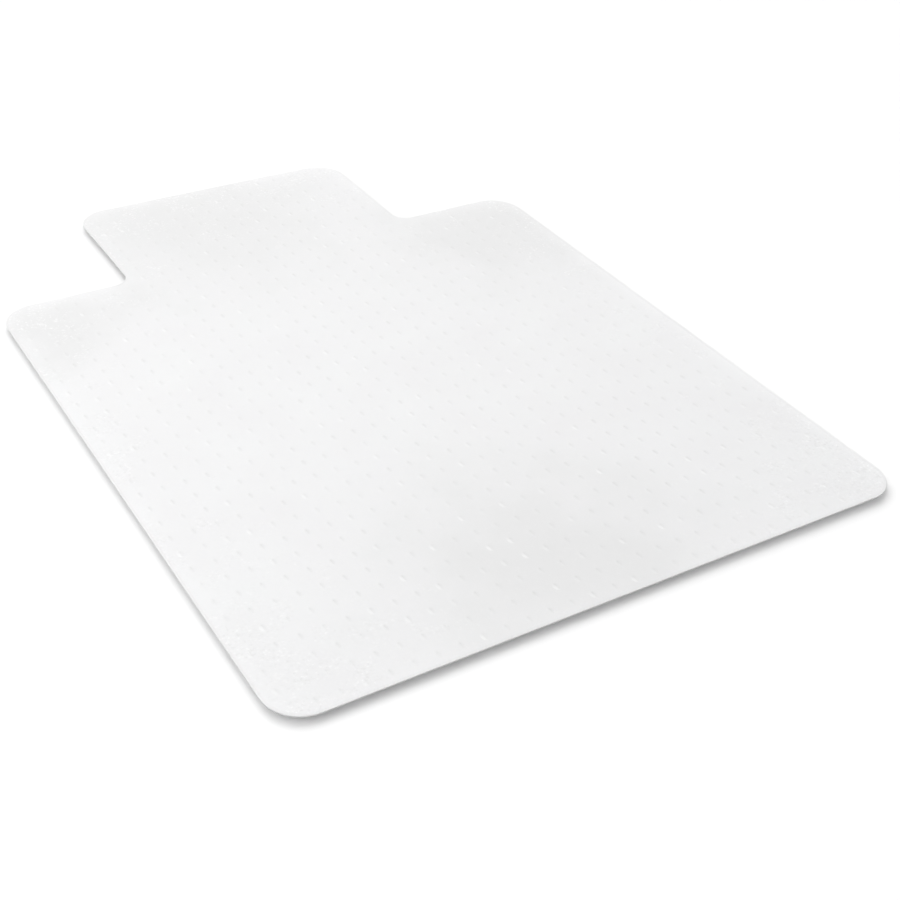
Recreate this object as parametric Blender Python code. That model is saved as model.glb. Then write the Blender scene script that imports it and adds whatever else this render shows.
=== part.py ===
"""Clear studded vinyl chair mat with a lip for the knee space of a desk.

The mat is one moulded sheet. It is divided here at the root of the lip into two convex
regions, main_panel and lip_panel, which keep a hairline gap where the real sheet runs on.
Origin: centre of the whole outline, on the plane of the stud tips. +X right as seen by
someone sitting on the mat, +Y towards the lip, +Z up. All lengths are in metres.
"""

import math

import bmesh
import bpy
from mathutils import Matrix, Vector

# Outline
MAT_WIDTH = 0.9144  # 36 in
MAT_LENGTH = 1.2192  # 48 in, from the front edge to the end of the lip
LIP_LENGTH = 0.2540  # 10 in
LIP_WIDTH = 0.4880
CORNER_RADIUS = 0.0500  # the six outer corners
ROOT_RADIUS = 0.0250  # the two inner corners beside the lip
ARC_STEPS = 12  # straight pieces in a quarter turn

# Thickness
SHEET_THICKNESS = 0.0028
STUD_HEIGHT = 0.0062
STUD_BASE_RADIUS = 0.0034
STUD_SIDES = 4
STUD_SINK = 0.0010  # how far a stud's root reaches up into the sheet before they are joined

# Stud lattice, in straight rows and columns
STUD_PITCH_X = 0.0308
STUD_PITCH_Y = 0.0328
FIRST_COLUMN = 0.0210  # from the left edge to the first column of studs
FIRST_ROW = 0.0180  # from the front edge to the first row
STUD_MARGIN = 0.0110  # least distance from a stud's axis to the rim

PANEL_GAP = 0.0003  # between the two modelled regions

HALF_WIDTH = MAT_WIDTH / 2
FRONT_Y = -MAT_LENGTH / 2
BACK_Y = MAT_LENGTH / 2
ROOT_Y = BACK_Y - LIP_LENGTH
HALF_LIP = LIP_WIDTH / 2
UNDERSIDE_Z = STUD_HEIGHT

VINYL_COLOUR = (0.86, 0.87, 0.87, 1.0)
VINYL_ROUGHNESS = 0.38


def clear_scene():
    for obj in list(bpy.data.objects):
        bpy.data.objects.remove(obj, do_unlink=True)


def new_collection(name):
    collection = bpy.data.collections.new(name)
    bpy.context.scene.collection.children.link(collection)
    return collection


def vinyl_material(name):
    """Clear frosted PVC."""
    material = bpy.data.materials.new(name)
    material.use_nodes = True
    shader = material.node_tree.nodes["Principled BSDF"]
    shader.inputs["Base Color"].default_value = VINYL_COLOUR
    shader.inputs["Roughness"].default_value = VINYL_ROUGHNESS
    shader.inputs["Metallic"].default_value = 0.0
    material.diffuse_color = VINYL_COLOUR
    return material


def arc(centre_x, centre_y, radius, start, end):
    """Points along an arc from start to end, in degrees; end below start runs clockwise."""
    steps = max(2, round(ARC_STEPS * abs(end - start) / 90))
    points = []
    for step in range(steps + 1):
        angle = math.radians(start + (end - start) * step / steps)
        points.append((centre_x + radius * math.cos(angle), centre_y + radius * math.sin(angle)))
    return points


def main_outline():
    """The rolling area: a rectangle with round corners."""
    x = HALF_WIDTH - CORNER_RADIUS
    front = FRONT_Y + CORNER_RADIUS
    back = ROOT_Y - CORNER_RADIUS
    return (
        arc(-x, front, CORNER_RADIUS, 180, 270)
        + arc(x, front, CORNER_RADIUS, 270, 360)
        + arc(x, back, CORNER_RADIUS, 0, 90)
        + arc(-x, back, CORNER_RADIUS, 90, 180)
    )


def lip_outline():
    """The lip: round corners at its end, and a hollow round flare where it leaves the body."""
    x = HALF_LIP - CORNER_RADIUS
    back = BACK_Y - CORNER_RADIUS
    root_x = HALF_LIP + ROOT_RADIUS
    root_y = ROOT_Y + ROOT_RADIUS
    flare = math.degrees(math.asin(1 - PANEL_GAP / ROOT_RADIUS))
    return (
        arc(root_x, root_y, ROOT_RADIUS, 180 + flare, 180)
        + arc(x, back, CORNER_RADIUS, 0, 90)
        + arc(-x, back, CORNER_RADIUS, 90, 180)
        + arc(-root_x, root_y, ROOT_RADIUS, 0, -flare)
    )


def sheet_object(name, outline, collection):
    """A flat sheet with this outline, as a mesh."""
    curve = bpy.data.curves.new(name + "_outline", "CURVE")
    curve.dimensions = "2D"
    curve.fill_mode = "BOTH"
    curve.extrude = SHEET_THICKNESS / 2
    spline = curve.splines.new("POLY")
    spline.points.add(len(outline) - 1)
    for point, (x, y) in zip(spline.points, outline):
        point.co = (x, y, 0.0, 1.0)
    spline.use_cyclic_u = True
    drawn = bpy.data.objects.new(name + "_outline", curve)
    drawn.location = (0.0, 0.0, UNDERSIDE_Z + SHEET_THICKNESS / 2)
    collection.objects.link(drawn)
    bpy.context.view_layer.update()

    graph = bpy.context.evaluated_depsgraph_get()
    mesh = bpy.data.meshes.new_from_object(drawn.evaluated_get(graph))
    mesh.name = name
    sheet = bpy.data.objects.new(name, mesh)
    sheet.matrix_world = drawn.matrix_world
    collection.objects.link(sheet)
    bpy.data.objects.remove(drawn, do_unlink=True)

    bm = bmesh.new()
    bm.from_mesh(mesh)
    bmesh.ops.remove_doubles(bm, verts=bm.verts, dist=0.00001)
    bmesh.ops.recalc_face_normals(bm, faces=bm.faces)
    bm.to_mesh(mesh)
    bm.free()
    return sheet


def rim_distance(x, y, outline):
    """Distance from a point to an outline, negative outside it."""
    nearest = math.inf
    inside = False
    for (ax, ay), (bx, by) in zip(outline, outline[1:] + outline[:1]):
        along = Vector((bx - ax, by - ay))
        share = max(0.0, min(1.0, Vector((x - ax, y - ay)).dot(along) / along.length_squared))
        nearest = min(nearest, math.hypot(ax + share * along.x - x, ay + share * along.y - y))
        if (ay > y) != (by > y) and x < ax + (bx - ax) * (y - ay) / (by - ay):
            inside = not inside
    return nearest if inside else -nearest


def stud_places(outline, root_margin):
    """Lattice points that lie clear of the rim; at the root the sheet runs on, so less is needed."""
    places = []
    columns = int(MAT_WIDTH / STUD_PITCH_X) + 1
    rows = int(MAT_LENGTH / STUD_PITCH_Y) + 1
    for row in range(rows):
        y = FRONT_Y + FIRST_ROW + row * STUD_PITCH_Y
        for column in range(columns):
            x = -HALF_WIDTH + FIRST_COLUMN + column * STUD_PITCH_X
            at_root = abs(x) < HALF_LIP - STUD_MARGIN and abs(y - ROOT_Y) < STUD_MARGIN
            margin = root_margin if at_root else STUD_MARGIN
            if rim_distance(x, y, outline) >= margin:
                places.append((x, y))
    return places


def stud_field(name, places, collection):
    """One pointed stud at each place, point down, with its root inside the sheet."""
    root_z = UNDERSIDE_Z + STUD_SINK
    root_radius = STUD_BASE_RADIUS * root_z / STUD_HEIGHT
    point_down = Matrix.Rotation(math.pi, 4, "X") @ Matrix.Rotation(math.pi / STUD_SIDES, 4, "Z")
    bm = bmesh.new()
    for x, y in places:
        bmesh.ops.create_cone(
            bm,
            cap_ends=True,
            cap_tris=False,
            segments=STUD_SIDES,
            radius1=root_radius,
            radius2=0.0,
            depth=root_z,
            matrix=Matrix.Translation((x, y, root_z / 2)) @ point_down,
        )
    mesh = bpy.data.meshes.new(name)
    bm.to_mesh(mesh)
    bm.free()
    field = bpy.data.objects.new(name, mesh)
    field.hide_render = True
    field.display_type = "WIRE"
    collection.objects.link(field)
    return field


def studded_panel(name, outline, material, parts, helpers):
    sheet = sheet_object(name, outline, parts)
    sheet.data.materials.clear()
    sheet.data.materials.append(material)
    studs = stud_field(name + "_studs", stud_places(outline, STUD_BASE_RADIUS), helpers)
    join = sheet.modifiers.new("join_studs", "BOOLEAN")
    join.operation = "UNION"
    join.solver = "EXACT"
    join.object = studs
    return sheet


def main():
    clear_scene()
    parts = new_collection("chair_mat")
    helpers = new_collection("studs_to_join")
    studded_panel("main_panel", main_outline(), vinyl_material("main_panel_vinyl"), parts, helpers)
    studded_panel("lip_panel", lip_outline(), vinyl_material("lip_panel_vinyl"), parts, helpers)


main()
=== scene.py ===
import math
import random

import bmesh
import bpy
from mathutils import Matrix, Vector
from mathutils.geometry import intersect_point_line


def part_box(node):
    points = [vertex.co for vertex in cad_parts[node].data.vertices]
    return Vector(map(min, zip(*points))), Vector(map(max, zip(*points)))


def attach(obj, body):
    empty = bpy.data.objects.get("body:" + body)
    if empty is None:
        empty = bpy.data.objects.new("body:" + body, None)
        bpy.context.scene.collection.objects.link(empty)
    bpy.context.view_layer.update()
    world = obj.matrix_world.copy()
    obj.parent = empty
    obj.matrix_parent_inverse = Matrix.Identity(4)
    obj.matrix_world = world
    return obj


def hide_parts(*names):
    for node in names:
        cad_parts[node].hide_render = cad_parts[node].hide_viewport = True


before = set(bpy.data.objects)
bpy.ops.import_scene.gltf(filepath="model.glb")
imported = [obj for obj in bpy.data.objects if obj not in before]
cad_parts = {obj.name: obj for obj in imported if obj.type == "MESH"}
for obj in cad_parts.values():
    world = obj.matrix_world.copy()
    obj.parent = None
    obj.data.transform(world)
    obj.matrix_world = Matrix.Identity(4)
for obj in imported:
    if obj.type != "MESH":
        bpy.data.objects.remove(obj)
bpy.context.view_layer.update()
bodyLow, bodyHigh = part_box("main_panel")
lipLow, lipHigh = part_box("lip_panel")
print("frame loaded")


def hexColor(code):
    # sRGB hex to the linear values that shader sockets take
    channels = [int(code[i:i + 2], 16) / 255 for i in (0, 2, 4)]
    linear = [c / 12.92 if c <= 0.04045 else ((c + 0.055) / 1.055) ** 2.4 for c in channels]
    return (*linear, 1.0)


def addNode(tree, kind, settings=None, values=None, links=None):
    # settings are the node's own, values and links go to its inputs by name or number
    node = tree.nodes.new(kind)
    for name, value in (settings or {}).items():
        setattr(node, name, value)
    for name, value in (values or {}).items():
        node.inputs[name].default_value = value
    for name, socket in (links or {}).items():
        tree.links.new(socket, node.inputs[name])
    return node


studio = {
    "cameraPlace": (-0.9176, -1.5838, 1.1438),  # metres, same frame as the part
    "cameraAim": (-0.0792, -0.2360, 0.0090),
    "cameraRoll": 2.673,  # degrees
    "lens": 58.23,  # millimetres
    "sensorWidth": 36.0,
    "clipEnd": 200.0,
    "shiftX": 0.04395,
    "shiftY": -0.00135,
    "floorSize": 60.0,  # metres, so that its edge stays near the horizon from any side
    "floorColor": "f4f4f4",
    "floorRoughness": 0.9,
    "fillColor": "ffffff",
    "fillStrength": 0.66,  # even light from all round
    "keyStrength": 2.85,  # what the softbox adds to it at its middle
    "keyTurn": 18.0,  # degrees from the far side of the mat towards its right
    "keyHeight": 32.0,  # degrees above the floor
    "keySpread": 48.0,  # degrees from the middle of the softbox's glow to its end
    "sideSize": 1.6,  # metres, a second softbox at the left
    "sidePlace": (-1.9, 0.1, 1.1),
    "sideAim": (-0.3, 0.1, 0.0),
    "sidePower": 11.0,  # watts
}


def addCamera(opts):
    data = bpy.data.cameras.new("camera")
    data.lens = opts["lens"]
    data.sensor_width = opts["sensorWidth"]
    data.shift_x = opts["shiftX"]
    data.shift_y = opts["shiftY"]
    data.clip_end = opts["clipEnd"]
    camera = bpy.data.objects.new("camera", data)
    bpy.context.scene.collection.objects.link(camera)
    place = Vector(opts["cameraPlace"])
    aim = (Vector(opts["cameraAim"]) - place).to_track_quat("-Z", "Y")
    roll = Matrix.Rotation(math.radians(opts["cameraRoll"]), 4, "Z")
    camera.matrix_world = Matrix.Translation(place) @ aim.to_matrix().to_4x4() @ roll
    bpy.context.scene.camera = camera


def setLight(opts):
    # one very large soft light high behind the mat, in an even white studio
    world = bpy.data.worlds.new("studio")
    world.use_nodes = True
    tree = world.node_tree
    background = tree.nodes["Background"]
    turn, height = math.radians(opts["keyTurn"]), math.radians(opts["keyHeight"])
    toward = (math.cos(height) * math.sin(turn), math.cos(height) * math.cos(turn), math.sin(height))
    look = addNode(tree, "ShaderNodeTexCoord").outputs["Generated"]
    facing = addNode(tree, "ShaderNodeVectorMath", {"operation": "DOT_PRODUCT"},
                     {1: toward}, {0: look})
    glow = addNode(tree, "ShaderNodeMapRange", {"interpolation_type": "SMOOTHERSTEP"}, {
        "From Min": math.cos(math.radians(opts["keySpread"])), "From Max": 1.0,
        "To Min": opts["fillStrength"], "To Max": opts["fillStrength"] + opts["keyStrength"]},
        {"Value": facing.outputs["Value"]})
    tree.links.new(glow.outputs["Result"], background.inputs["Strength"])
    background.inputs["Color"].default_value = hexColor(opts["fillColor"])
    bpy.context.scene.world = world

    # the weak square one at the left lifts that side a little
    data = bpy.data.lights.new("side_softbox", "AREA")
    data.size = opts["sideSize"]
    data.energy = opts["sidePower"]
    lamp = bpy.data.objects.new("side_softbox", data)
    lamp.location = opts["sidePlace"]
    toMat = Vector(opts["sideAim"]) - lamp.location
    lamp.rotation_euler = toMat.to_track_quat("-Z", "Y").to_euler()
    bpy.context.scene.collection.objects.link(lamp)


def addFloor(opts):
    bm = bmesh.new()
    bmesh.ops.create_grid(bm, x_segments=1, y_segments=1, size=opts["floorSize"] / 2)
    mesh = bpy.data.meshes.new("floor")
    bm.to_mesh(mesh)
    bm.free()
    floor = bpy.data.objects.new("floor", mesh)
    bpy.context.scene.collection.objects.link(floor)
    material = bpy.data.materials.new("white_studio_floor")
    material.use_nodes = True
    shader = material.node_tree.nodes["Principled BSDF"]
    shader.inputs["Base Color"].default_value = hexColor(opts["floorColor"])
    shader.inputs["Roughness"].default_value = opts["floorRoughness"]
    shader.inputs["Specular IOR Level"].default_value = 0.0
    mesh.materials.append(material)


bpy.context.scene.view_settings.view_transform = "Standard"
addCamera(studio)
setLight(studio)
addFloor(studio)
print("studio ready")


# Plasticised PVC, calendered between an embossed roller and a studded one.
# It is clear in the mass, so the floor shows through. The fine matt emboss on top spreads
# reflections into a soft haze, and the studs below show only as faint darker points.
vinyl = {
    "clearColor": "f5f6f6",
    "hazeColor": "f0eff0",
    "fleckHighlightColor": "ffffff",  # painted highlight on the tops of the emboss
    "dentShadeColor": "eaeaea",  # and painted shade in its hollows
    "studShadeColor": "e8e8e8",  # painted shade: light leaves downwards through a stud, so it looks darker
    "glintColor": "ffffff",  # painted glint at one side of some sink marks
    "edgeShadeColor": "e8e8e8",  # painted shade line standing for the cut edge seen again through the sheet, a few mm inside it
    "hazeScale": 0.110,  # metres, broad uneven haze across the sheet
    "cloudColor": "ebebeb",
    # places and radii, in metres, of wide faint darker patches in the colour
    "clouds": [(-0.04, -0.52, 0.32), (0.38, 0.27, 0.32), (-0.08, 0.53, 0.42), (-0.40, 0.30, 0.20)],
    "cloudRags": 0.4,  # metres, how ragged their borders are
    "grainSize": 0.0036,  # metres; the real emboss is about 0.5 mm, drawn coarser so it shows
    "grainDepth": 0.00005,
    "fleckRange": (0.57, 0.74),  # heights of the grain over which the painted highlight comes in
    "dentRange": (0.45, 0.30),  # and over which the painted shade comes in
    "patchSize": 0.045,  # metres, patches where the painted highlights and shade are stronger and weaker
    "cornerPull": (1.35, 1.0, 0.0),  # they are strongest towards the corners
    "cornerShift": (0.0, 0.127, 0.0),  # metres, the middle of the body, not of the whole mat
    "fleckStrengthRange": (1.0, 1.38),  # patch value plus metres from the middle, weak to strong
    "fleckWeakest": 0.12,  # least share of the flecks and dents
    "waveSize": 0.16,  # metres, slow unevenness of a rolled sheet
    "waveDepth": 0.0004,
    "roughLow": 0.50,
    "roughHigh": 0.64,
    "roughRange": (0.3, 0.7),  # heights of the grain between those two
    "ior": 1.53,
    "specular": 0.2,
    "transmission": 0.30,
}


def vinylMaterial(opts):
    material = bpy.data.materials.new("clear_pvc_calendered")
    material.use_nodes = True
    tree = material.node_tree
    shader = tree.nodes["Principled BSDF"]
    place = addNode(tree, "ShaderNodeTexCoord").outputs["Object"]

    # a color mix takes its share at input 0 and its colors at 6 and 7, and gives output 2
    haze = addNode(tree, "ShaderNodeTexNoise", values={"Scale": 1 / opts["hazeScale"], "Detail": 3.0},
                   links={"Vector": place}).outputs["Fac"]
    color = addNode(tree, "ShaderNodeMix", {"data_type": "RGBA"}, {
        6: hexColor(opts["clearColor"]), 7: hexColor(opts["hazeColor"])}, {0: haze}).outputs[2]
    for x, y, radius in opts["clouds"]:
        away = addNode(tree, "ShaderNodeVectorMath", {"operation": "DISTANCE"},
                       {1: (x, y, 0.0)}, {0: place}).outputs["Value"]
        ragged = addNode(tree, "ShaderNodeMath", {"operation": "MULTIPLY_ADD"},
                         {1: opts["cloudRags"]}, {0: haze, 2: away}).outputs["Value"]
        cloud = addNode(tree, "ShaderNodeMapRange", {"interpolation_type": "SMOOTHSTEP"}, {
            "From Min": radius + opts["cloudRags"] / 2, "From Max": opts["cloudRags"] / 2},
            {"Value": ragged}).outputs["Result"]
        color = addNode(tree, "ShaderNodeMix", {"data_type": "RGBA"},
                        {7: hexColor(opts["cloudColor"])}, {0: cloud, 6: color}).outputs[2]

    # painted highlights on the tops of the emboss and painted shade in its hollows, strongest towards
    # the corners
    grain = addNode(tree, "ShaderNodeTexNoise", values={"Scale": 1 / opts["grainSize"], "Detail": 2.0},
                    links={"Vector": place}).outputs["Fac"]
    patch = addNode(tree, "ShaderNodeTexNoise", values={"Scale": 1 / opts["patchSize"], "Detail": 2.0},
                    links={"Vector": place}).outputs["Fac"]
    fromMiddle = addNode(tree, "ShaderNodeVectorMath", {"operation": "MULTIPLY_ADD"},
                         {1: opts["cornerPull"], 2: opts["cornerShift"]},
                         {0: place}).outputs["Vector"]
    outward = addNode(tree, "ShaderNodeVectorMath", {"operation": "LENGTH"},
                      links={0: fromMiddle}).outputs["Value"]
    fleckField = addNode(tree, "ShaderNodeMath", {"operation": "ADD"},
                      links={0: patch, 1: outward}).outputs["Value"]
    fleckStrength = addNode(tree, "ShaderNodeMapRange", {"interpolation_type": "SMOOTHSTEP"}, {
        "From Min": opts["fleckStrengthRange"][0], "From Max": opts["fleckStrengthRange"][1],
        "To Min": opts["fleckWeakest"]},
        {"Value": fleckField}).outputs["Result"]
    for tone, heights in (("fleckHighlightColor", "fleckRange"), ("dentShadeColor", "dentRange")):
        spot = addNode(tree, "ShaderNodeMapRange", values={
            "From Min": opts[heights][0], "From Max": opts[heights][1]},
            links={"Value": grain, "To Max": fleckStrength}).outputs["Result"]
        color = addNode(tree, "ShaderNodeMix", {"data_type": "RGBA"}, {7: hexColor(opts[tone])},
                        {0: spot, 6: color}).outputs[2]

    # painted shade over the studs, painted glints on some sink marks and a painted shade line along
    # the rim; the painted stud shade is weaker where the painted flecks and dents are strong
    showing = addNode(tree, "ShaderNodeMath", {"operation": "SUBTRACT"},
                      {0: 1.0}, {1: fleckStrength}).outputs["Value"]
    for shade, tone in (("studShade", "studShadeColor"), ("glintShade", "glintColor"),
                        ("edgeShade", "edgeShadeColor")):
        amount = addNode(tree, "ShaderNodeAttribute", {"attribute_name": shade}).outputs["Fac"]
        if shade == "studShade":
            amount = addNode(tree, "ShaderNodeMath", {"operation": "MULTIPLY"},
                             links={0: amount, 1: showing}).outputs["Value"]
        color = addNode(tree, "ShaderNodeMix", {"data_type": "RGBA"}, {7: hexColor(opts[tone])},
                        {0: amount, 6: color}).outputs[2]

    rough = addNode(tree, "ShaderNodeMapRange", values={
        "From Min": opts["roughRange"][0], "From Max": opts["roughRange"][1],
        "To Min": opts["roughLow"], "To Max": opts["roughHigh"]},
        links={"Value": grain}).outputs["Result"]
    wave = addNode(tree, "ShaderNodeTexNoise", values={"Scale": 1 / opts["waveSize"], "Detail": 1.0},
                   links={"Vector": place}).outputs["Fac"]
    slow = addNode(tree, "ShaderNodeBump", values={"Distance": opts["waveDepth"]},
                   links={"Height": wave}).outputs["Normal"]
    fine = addNode(tree, "ShaderNodeBump", values={"Distance": opts["grainDepth"]},
                   links={"Height": grain, "Normal": slow}).outputs["Normal"]
    tree.links.new(color, shader.inputs["Base Color"])
    tree.links.new(rough, shader.inputs["Roughness"])
    tree.links.new(fine, shader.inputs["Normal"])
    shader.inputs["IOR"].default_value = opts["ior"]
    shader.inputs["Specular IOR Level"].default_value = opts["specular"]
    shader.inputs["Transmission Weight"].default_value = opts["transmission"]
    return material


sheet = {
    "thickness": 0.0028,  # metres, as every length here
    "cornerRadius": 0.050,  # the six outer corners
    "rootRadius": 0.025,  # the two inner ones beside the lip
    "cornerSteps": 14,
    "lipWidth": 0.4880,
    "columnStart": 0.0210,  # from the left edge
    "columnPitch": 0.0308,
    "rowStart": 0.0180,  # from the front edge
    "rowPitch": 0.0328,
    "latticeEnd": 0.0040,  # no row or column is cut nearer than this to the right or the far end
    "studMargin": 0.0110,  # least distance from a stud's axis to the rim
    "ringRadius": 0.0048,  # the round that each stud and sink mark starts from
    "ringSegments": 2,  # to each quarter of it
    "rimRise": 0.00235,  # the rim is a ridge this far above the underside, near the top face
    # rings inside the rim, each (width, rise of the underside, painted edge shade) at its inner side
    "rimRings": [(0.00022, 0.00190, 0.2), (0.00090, 0.0, 0.3), (0.0018, 0.0, 0.5),
                 (0.0019, 0.0, 0.0)],
    # each step is (inwards, outwards from the face, painted stud shade)
    "studSteps": [(0.00095, 0.0, 0.0), (0.00050, 0.00035, 0.0), (0.00262, 0.00560, 0.0),
                  (0.00020, 0.00025, 0.0)],
    "sinkSteps": [(0.00040, 0.0, 0.0), (0.00190, -0.00015, 0.35), (0.00110, -0.00012, 0.6)],
    # sink marks are drawn out along the web's direction of travel, before and after their steps
    "sinkStretch": [1.6, 1.3],
    "unevenness": 0.75,  # how much of a stud's shade may be missing
    "glintShare": 0.2,  # how many of the sink marks get a painted glint
    "glintStrength": 0.6,  # the brightest one
    "glintSide": (-0.9, -0.4, 0.0),
    "sameSpot": 1e-6,  # a cut that passes this near a corner goes through it
    "mergeWithin": 1e-5,
    "seed": 4,
}


def outlineFace(opts):
    # the eight corners of body and lip, as one flat face at the height of the underside
    halfLip = opts["lipWidth"] / 2
    root = bodyHigh.y
    corners = [(bodyLow.x, bodyLow.y), (bodyHigh.x, bodyLow.y), (bodyHigh.x, root), (halfLip, root),
               (halfLip, lipHigh.y), (-halfLip, lipHigh.y), (-halfLip, root), (bodyLow.x, root)]
    bm = bmesh.new()
    verts = [bm.verts.new((x, y, 0.0)) for x, y in corners]
    bm.faces.new(verts)
    inner = [verts[3], verts[6]]
    outer = [v for v in verts if v not in inner]
    for group, radius in ((outer, opts["cornerRadius"]), (inner, opts["rootRadius"])):
        bmesh.ops.bevel(bm, geom=group, affect="VERTICES", offset=radius, offset_type="OFFSET",
                        segments=opts["cornerSteps"], profile=0.5, material=-1)
    return bm


def rimDistance(point, rim):
    nearest = math.inf
    for a, b in rim:
        spot, share = intersect_point_line(point, a, b)
        spot = a if share < 0 else b if share > 1 else spot
        nearest = min(nearest, (spot - point).length)
    return nearest


def cutLattice(bm, opts):
    # rows and columns of cuts; a stud belongs wherever two cuts cross well inside the rim
    rim = [(e.verts[0].co.copy(), e.verts[1].co.copy()) for e in bm.edges if e.is_boundary]
    columns = []
    x = bodyLow.x + opts["columnStart"]
    while x < bodyHigh.x - opts["latticeEnd"]:
        columns.append(x)
        x += opts["columnPitch"]
    rows = []
    y = bodyLow.y + opts["rowStart"]
    while y < lipHigh.y - opts["latticeEnd"]:
        rows.append(y)
        y += opts["rowPitch"]
    cuts = [((x, 0, 0), (1, 0, 0)) for x in columns] + [((0, y, 0), (0, 1, 0)) for y in rows]
    for spot, across in cuts:
        bmesh.ops.bisect_plane(bm, geom=bm.verts[:] + bm.edges[:] + bm.faces[:],
                               dist=opts["sameSpot"], plane_co=spot, plane_no=across)
    return [v for v in bm.verts if not v.is_boundary and len(v.link_edges) == 4
            and rimDistance(v.co, rim) >= opts["studMargin"]]


def openRounds(bm, crossings, opts):
    # bevelling a crossing opens a small face there, which is drawn out to a round
    made = bmesh.ops.bevel(bm, geom=crossings, affect="VERTICES", offset=opts["ringRadius"],
                           offset_type="OFFSET", segments=opts["ringSegments"], profile=0.5,
                           material=-1)
    rounds = bmesh.ops.dissolve_faces(bm, faces=made["faces"])["region"]
    for face in rounds:
        center = face.calc_center_median()
        for v in face.verts:
            v.co = center + (v.co - center).normalized() * opts["ringRadius"]
    print("studs:", len(rounds), "at", len(crossings), "crossings")
    return rounds


def drawOut(bm, faces, amount):
    for face in faces:
        bmesh.ops.scale(bm, vec=(1, amount, 1), verts=face.verts,
                        space=Matrix.Translation(-face.calc_center_median()))


def insetRim(bm, opts):
    rise = bm.verts.layers.float["rise"]
    edgeShade = bm.verts.layers.float["edgeShade"]
    for v in bm.verts:
        v[rise] = opts["rimRise"]
        v[edgeShade] = opts["rimRings"][0][2]
    # each ring's edge shade is a painted shade line just inside the rim
    for width, height, shade in opts["rimRings"]:
        inside = [f for f in bm.faces if len(f.verts) > 4]  # the rings so far are all quads
        bmesh.ops.inset_region(bm, faces=inside, thickness=width, depth=0.0,
                               use_boundary=True, use_even_offset=True)
        for v in {v for f in inside for v in f.verts}:
            v[rise] = height
            v[edgeShade] = shade


def addThickness(bm, opts):
    # a second layer above, whose wall then closes on a ridge, and the underside's rim rises to it
    rise = bm.verts.layers.float["rise"]
    underside = lipHigh.z - opts["thickness"]
    bmesh.ops.translate(bm, verts=bm.verts, vec=(0, 0, underside))
    made = bmesh.ops.extrude_face_region(bm, geom=bm.faces[:], use_keep_orig=True)
    lifted = [g for g in made["geom"] if isinstance(g, bmesh.types.BMVert)]
    bmesh.ops.translate(bm, verts=lifted, vec=(0, 0, opts["thickness"]))
    bm.normal_update()
    walls = [f for f in bm.faces if abs(f.normal.z) < 0.5]  # upright, where the layers lie flat
    for v in bm.verts:
        if v.co.z < underside + opts["sameSpot"]:
            v.co.z += v[rise]
    for v in {v for f in walls for v in f.verts}:
        v.co.z = underside + opts["rimRise"]
    bmesh.ops.remove_doubles(bm, verts=bm.verts, dist=opts["mergeWithin"])
    bmesh.ops.recalc_face_normals(bm, faces=bm.faces)


# painted glints, a bright spot at one side of some sink marks
def addGlints(bm, spots, chance, opts):
    glintShade = bm.verts.layers.float["glintShade"]
    for face in spots:
        center = face.calc_center_median()
        if chance.random() < opts["glintShare"]:
            strength = opts["glintStrength"] * chance.random()
            for v in face.verts:
                facing = (v.co - center).normalized().dot(Vector(opts["glintSide"]))
                v[glintShade] = strength * max(0.0, facing)


def raiseSpots(bm, side, steps, chance, opts):
    # the studs below, where side is -1, and the sink marks above, where it is 1
    mark = bm.faces.layers.int["round"]
    studShade = bm.verts.layers.float["studShade"]
    spots = [f for f in bm.faces if f[mark] and f.normal.z * side > 0]
    strengths = [1 - opts["unevenness"] * chance.random() for face in spots]
    if side > 0:
        drawOut(bm, spots, opts["sinkStretch"][0])
    # the sink marks above the studs take the painted stud shade, a darker colour over each stud
    for inwards, outwards, shade in steps:
        bmesh.ops.inset_individual(bm, faces=spots, thickness=inwards, depth=outwards,
                                   use_even_offset=True)
        for face, strength in zip(spots, strengths):
            for v in face.verts:
                v[studShade] = shade * strength
        if side > 0 and outwards == 0:
            addGlints(bm, spots, chance, opts)
    if side > 0:
        drawOut(bm, spots, opts["sinkStretch"][1])


def buildSheet(opts):
    chance = random.Random(opts["seed"])
    bm = outlineFace(opts)
    bm.faces.layers.int.new("round")
    for shade in ("studShade", "glintShade", "edgeShade", "rise"):
        bm.verts.layers.float.new(shade)
    insetRim(bm, opts)
    crossings = cutLattice(bm, opts)
    rounds = openRounds(bm, crossings, opts)
    mark = bm.faces.layers.int["round"]
    for face in rounds:
        face[mark] = 1
    addThickness(bm, opts)
    raiseSpots(bm, -1, opts["studSteps"], chance, opts)
    raiseSpots(bm, 1, opts["sinkSteps"], chance, opts)
    for face in bm.faces:
        face.smooth = True
    mesh = bpy.data.meshes.new("chair_mat_sheet")
    bm.to_mesh(mesh)
    print("sheet:", sum(len(f.verts) - 2 for f in bm.faces), "triangles,",
          sum(1 for e in bm.edges if not e.is_manifold), "open edges")
    bm.free()
    piece = bpy.data.objects.new("chair_mat_sheet", mesh)
    bpy.context.scene.collection.objects.link(piece)
    return piece


matSheet = buildSheet(sheet)
matSheet.data.materials.append(vinylMaterial(vinyl))
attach(matSheet, "root")
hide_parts("main_panel", "lip_panel")
print("sheet ready")
